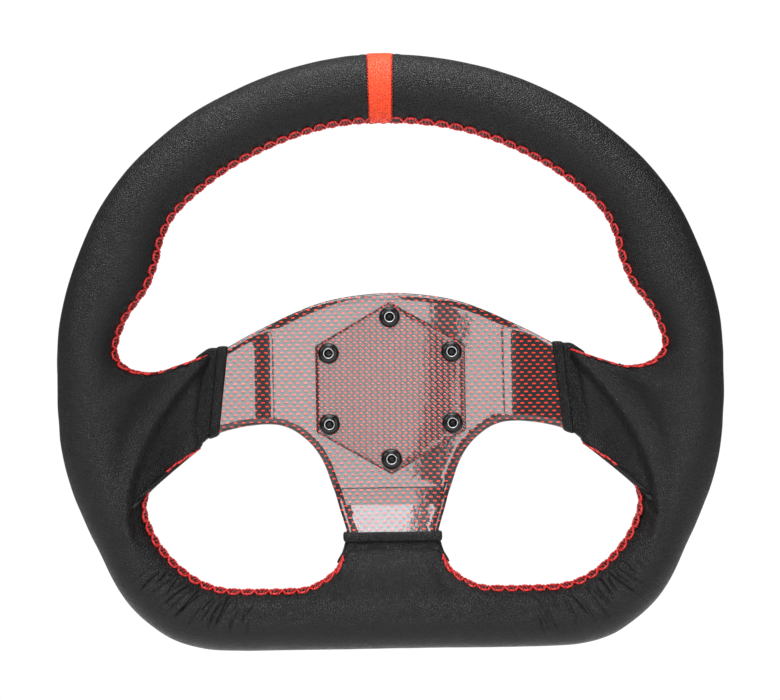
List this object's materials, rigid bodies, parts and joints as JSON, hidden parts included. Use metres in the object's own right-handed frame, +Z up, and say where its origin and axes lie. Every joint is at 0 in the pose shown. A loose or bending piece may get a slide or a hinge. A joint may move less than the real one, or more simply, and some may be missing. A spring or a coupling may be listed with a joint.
{
  "type": "quick release steering wheel",
  "caption": "D-shaped leather-wrapped competition steering wheel with a three-arm carbon spoke plate, on a splined, ball-locked quick release hub.",
  "frame": {"origin": "on the steering axis, at the column-side face of the hub that bolts to the boss", "axes": "+Z up with the wheel straight ahead, +X to the driver's right, +Y forward along the steering axis, away from the driver"},
  "size_m": [0.3202, 0.1031, 0.286],
  "materials": {
    "black_leather": "fine smooth grain, soft satin",
    "orange_leather": "fine grain, satin",
    "red_thread": "waxed sewing thread",
    "foam": "moulded integral-skin polyurethane foam",
    "carbon_plate": "lacquered woven carbon with red tracer threads",
    "carbon_cover": "lacquered woven carbon with red tracer threads, finer weave",
    "bare_aluminium": "mill finish",
    "black_anodised": "black anodised, machined",
    "red_anodised": "red anodised, machined",
    "silver_anodised": "clear anodised, turned",
    "spring_steel": "drawn wire",
    "ball_steel": "polished",
    "black_screws": "black oxide",
    "plated_screws": "zinc plated",
    "seal_rubber": "nitrile"
  },
  "bodies": {
    "column_side": {"column_hub": "black_anodised", "hub_seal_ring": "seal_rubber"},
    "wheel": {"wheel_adapter": "red_anodised", "retaining_clip": "spring_steel", "release_spring": "spring_steel", "spoke_plate": "carbon_plate", "hex_cover": "carbon_cover", "cover_bolts": "black_screws", "rim_core": "bare_aluminium", "core_screws": "plated_screws", "foam_grip": "foam", "leather_wrap": "black_leather", "centre_marker": "orange_leather", "cuff_left": "black_leather", "cuff_right": "black_leather", "cuff_bottom": "black_leather", "stitching_top": "red_thread", "stitching_lower_left": "red_thread", "stitching_lower_right": "red_thread"},
    "ring": {"release_ring": "silver_anodised"},
    "ball_1": {"lock_ball_1": "ball_steel"},
    "ball_2": {"lock_ball_2": "ball_steel"},
    "ball_3": {"lock_ball_3": "ball_steel"},
    "ball_4": {"lock_ball_4": "ball_steel"},
    "ball_5": {"lock_ball_5": "ball_steel"},
    "ball_6": {"lock_ball_6": "ball_steel"}
  },
  "joints": [
    {"name": "pull_off", "type": "slide", "parent": "column_side", "child": "wheel", "axis": [0, -1, 0], "range_m": [0, 0.06]},
    {"name": "ring_slide", "type": "slide", "parent": "wheel", "child": "ring", "axis": [0, -1, 0], "range_m": [0, 0.007], "stiffness_N_per_m": 1500, "springref_m": -0.006, "deforming": ["release_spring"]},
    {"name": "ball_1_out", "type": "slide", "parent": "wheel", "child": "ball_1", "axis": [0.9848, 0, 0.1736], "range_m": [0, 0.0021]},
    {"name": "ball_2_out", "type": "slide", "parent": "wheel", "child": "ball_2", "axis": [0.342, 0, 0.9397], "range_m": [0, 0.0021]},
    {"name": "ball_3_out", "type": "slide", "parent": "wheel", "child": "ball_3", "axis": [-0.6428, 0, 0.766], "range_m": [0, 0.0021]},
    {"name": "ball_4_out", "type": "slide", "parent": "wheel", "child": "ball_4", "axis": [-0.9848, 0, -0.1736], "range_m": [0, 0.0021]},
    {"name": "ball_5_out", "type": "slide", "parent": "wheel", "child": "ball_5", "axis": [-0.342, 0, -0.9397], "range_m": [0, 0.0021]},
    {"name": "ball_6_out", "type": "slide", "parent": "wheel", "child": "ball_6", "axis": [0.6428, 0, -0.766], "range_m": [0, 0.0021]}
  ],
  "couplings": [
    {"joint": "ball_1_out", "follows": "ring_slide", "ratio": 0.29286},
    {"joint": "ball_2_out", "follows": "ring_slide", "ratio": 0.29286},
    {"joint": "ball_3_out", "follows": "ring_slide", "ratio": 0.29286},
    {"joint": "ball_4_out", "follows": "ring_slide", "ratio": 0.29286},
    {"joint": "ball_5_out", "follows": "ring_slide", "ratio": 0.29286},
    {"joint": "ball_6_out", "follows": "ring_slide", "ratio": 0.29286}
  ]
}
